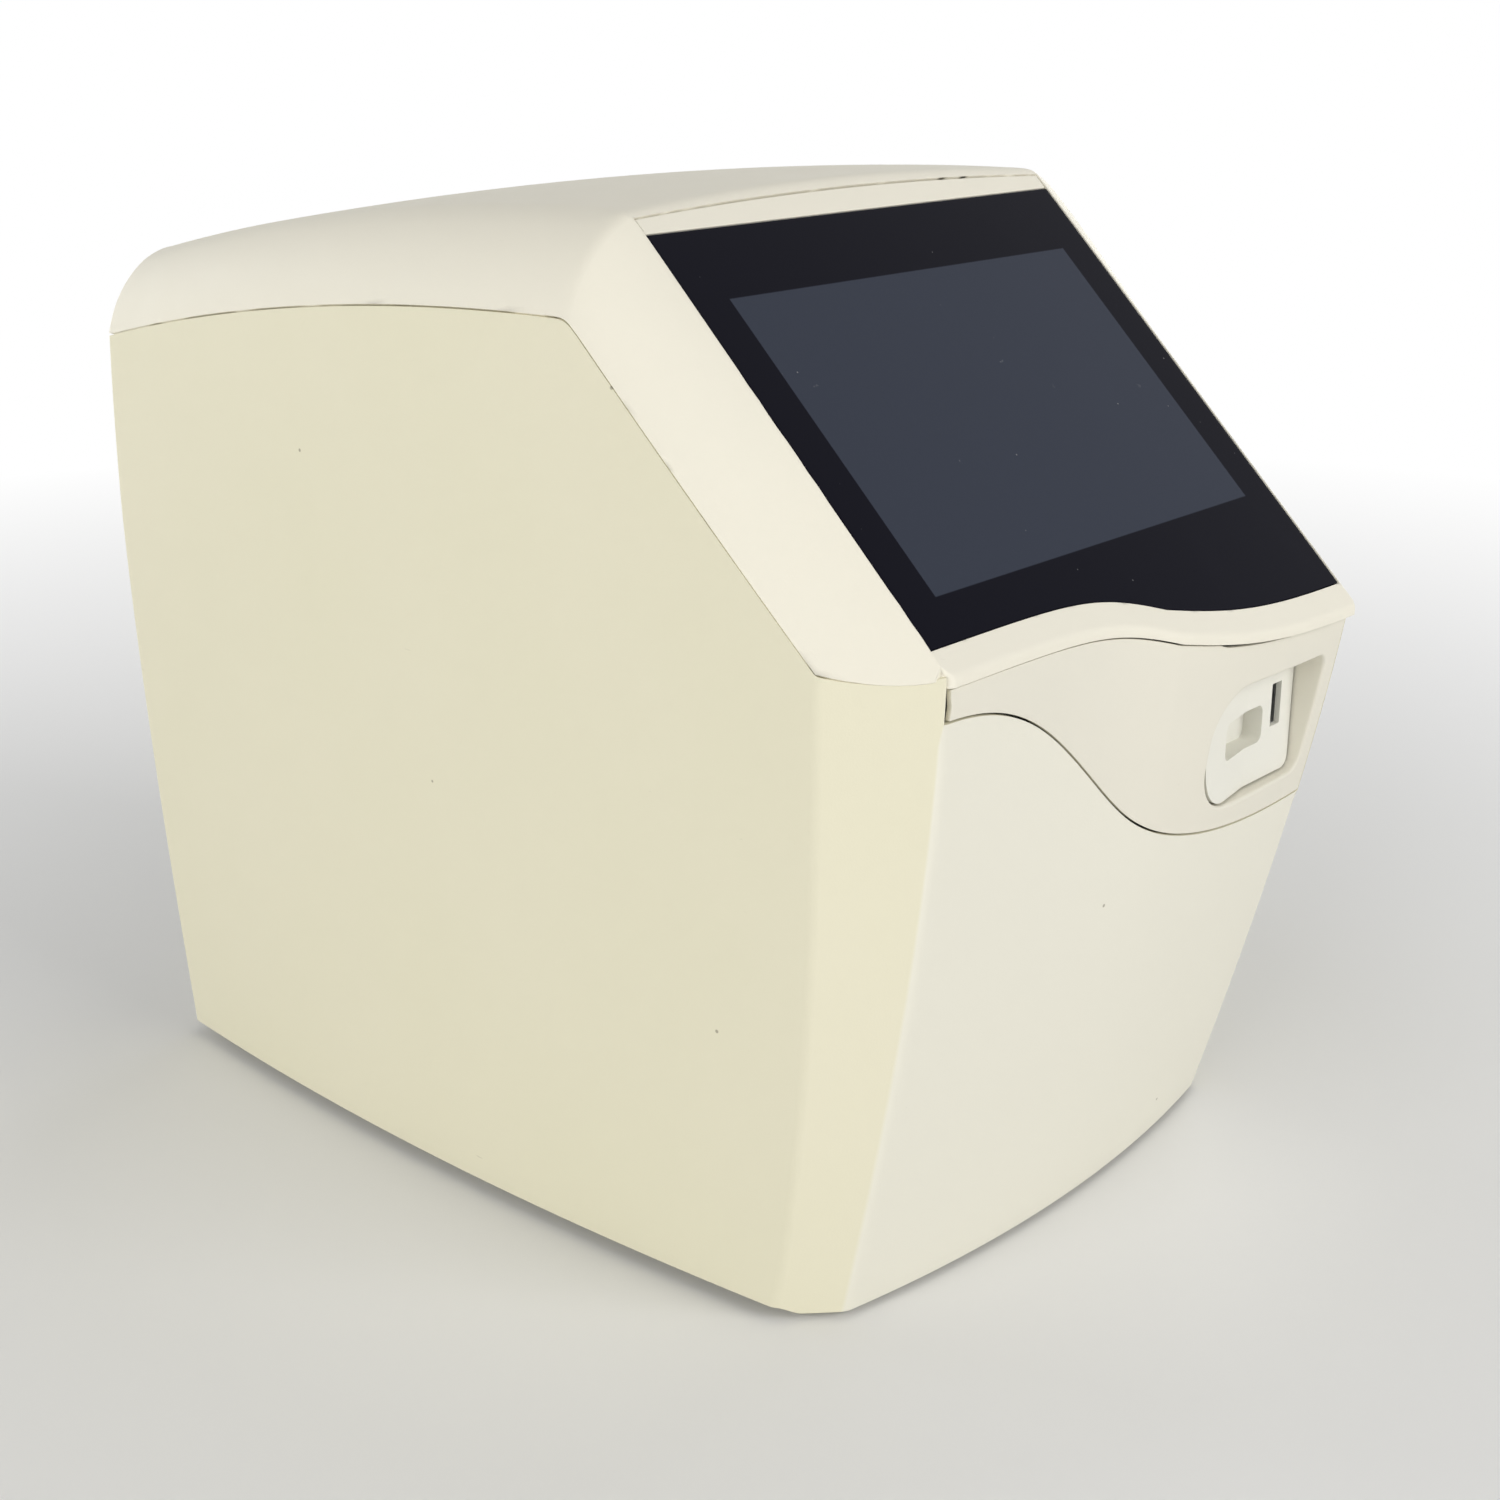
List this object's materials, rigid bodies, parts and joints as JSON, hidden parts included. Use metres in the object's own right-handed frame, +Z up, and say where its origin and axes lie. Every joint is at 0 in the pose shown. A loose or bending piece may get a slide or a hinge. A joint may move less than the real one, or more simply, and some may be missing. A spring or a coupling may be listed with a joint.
{
  "type": "spectrophotometer",
  "caption": "Bench spectrophotometer with a sloping touch screen, a curved front panel on a motorised plate drawer, a recessed data socket and a scanning optical arm inside.",
  "frame": {"origin": "on the resting surface, below the middle of the bounding box", "axes": "+Z up, the front with screen and drawer faces -Y, +X to the right of someone who faces the front"},
  "size_m": [0.262, 0.3703, 0.3348],
  "materials": {
    "housing_plastic": "fine textured moulding, pale cream",
    "cover_plastic": "fine textured moulding, warm off-white",
    "panel_plastic": "fine textured moulding, off-white",
    "touch_glass": "gloss black cover glass",
    "display": "dark display",
    "sheet_steel": "zinc-plated sheet",
    "painted_sheet": "powder-coated sheet, off-white",
    "bench_aluminium": "fine milled",
    "bright_steel": "ground and hardened",
    "black_anodised": "satin black",
    "black_plastic": "satin black",
    "bronze": "turned",
    "rubber": "matt black",
    "circuit_board": "solder mask",
    "lens": "polished",
    "mirror": "first-surface"
  },
  "bodies": {
    "housing": {"base_plate": "painted_sheet", "bench_posts": "bench_aluminium", "board_spacers": "bronze", "data_sockets": "sheet_steel", "display_band": "cover_plastic", "display_bracket": "sheet_steel", "display_module": "display", "drawer_motor": "black_anodised", "drawer_rods": "bright_steel", "fan_frame": "black_plastic", "fan_guard": "bright_steel", "fan_screws": "bright_steel", "foot_screws": "bright_steel", "home_sensor": "black_plastic", "inner_fascia": "panel_plastic", "lower_housing": "housing_plastic", "main_board": "circuit_board", "mains_inlet": "black_plastic", "optical_bench": "bench_aluminium", "power_supply": "sheet_steel", "rear_panel": "painted_sheet", "rear_screws": "bright_steel", "rod_posts": "bench_aluminium", "rubber_feet": "rubber", "scan_motor": "black_anodised", "scan_rods": "bright_steel", "switch_frame": "black_plastic", "touch_glass": "touch_glass", "upper_cover": "cover_plastic", "usb_socket": "sheet_steel"},
    "drawer": {"plate_tray": "black_anodised", "drawer_bushes": "bench_aluminium", "drawer_nut": "bronze", "panel_bracket": "sheet_steel", "drawer_panel": "panel_plastic"},
    "drawer_screw": {"drawer_screw": "bright_steel"},
    "scan_carriage": {"scan_blocks": "bench_aluminium", "scan_nut": "bronze", "cross_rods": "bright_steel", "cross_motor": "black_anodised"},
    "scan_screw": {"scan_screw": "bright_steel"},
    "cross_screw": {"cross_screw": "bright_steel"},
    "scan_arm": {"scan_arm": "black_anodised", "cross_nut": "bronze", "sample_lenses": "lens", "fold_mirrors": "mirror", "lamp_housing": "black_anodised", "lamp_lens": "lens", "flash_lamp": "lens", "spectrometer_case": "black_anodised", "spectrometer_lid": "black_anodised", "diffraction_grating": "mirror", "sensor_board": "circuit_board"},
    "fan_rotor": {"fan_rotor": "black_plastic"},
    "power_rocker": {"power_rocker": "black_plastic"}
  },
  "joints": [
    {"name": "drawer_slide", "type": "slide", "parent": "housing", "child": "drawer", "axis": [0, -1, 0], "range_m": [0, 0.122]},
    {"name": "drawer_screw_turn", "type": "hinge", "parent": "housing", "child": "drawer_screw", "pos_m": [-0.06, 0, 0.176], "axis": [0, 1, 0], "range_deg": [0, 4400]},
    {"name": "scan_slide", "type": "slide", "parent": "housing", "child": "scan_carriage", "axis": [0, -1, 0], "range_m": [0, 0.063]},
    {"name": "scan_screw_turn", "type": "hinge", "parent": "housing", "child": "scan_screw", "pos_m": [-0.06, 0, 0.116], "axis": [0, 1, 0], "range_deg": [0, 2270]},
    {"name": "cross_slide", "type": "slide", "parent": "scan_carriage", "child": "scan_arm", "axis": [1, 0, 0], "range_m": [0, 0.099]},
    {"name": "cross_screw_turn", "type": "hinge", "parent": "scan_carriage", "child": "cross_screw", "pos_m": [0, 0.016, 0.136], "axis": [1, 0, 0], "range_deg": [0, 3600]},
    {"name": "fan_spin", "type": "hinge", "parent": "housing", "child": "fan_rotor", "pos_m": [0, 0.1684, 0.205], "axis": [0, 1, 0], "continuous": true},
    {"name": "rocker_tilt", "type": "hinge", "parent": "housing", "child": "power_rocker", "pos_m": [0.03, 0.1784, 0.05], "axis": [1, 0, 0], "range_deg": [0, 16]}
  ],
  "couplings": [
    {"joint": "drawer_screw_turn", "follows": "drawer_slide", "rad_per_m": 628.32},
    {"joint": "scan_screw_turn", "follows": "scan_slide", "rad_per_m": 628.32},
    {"joint": "cross_screw_turn", "follows": "cross_slide", "rad_per_m": 628.32}
  ]
}
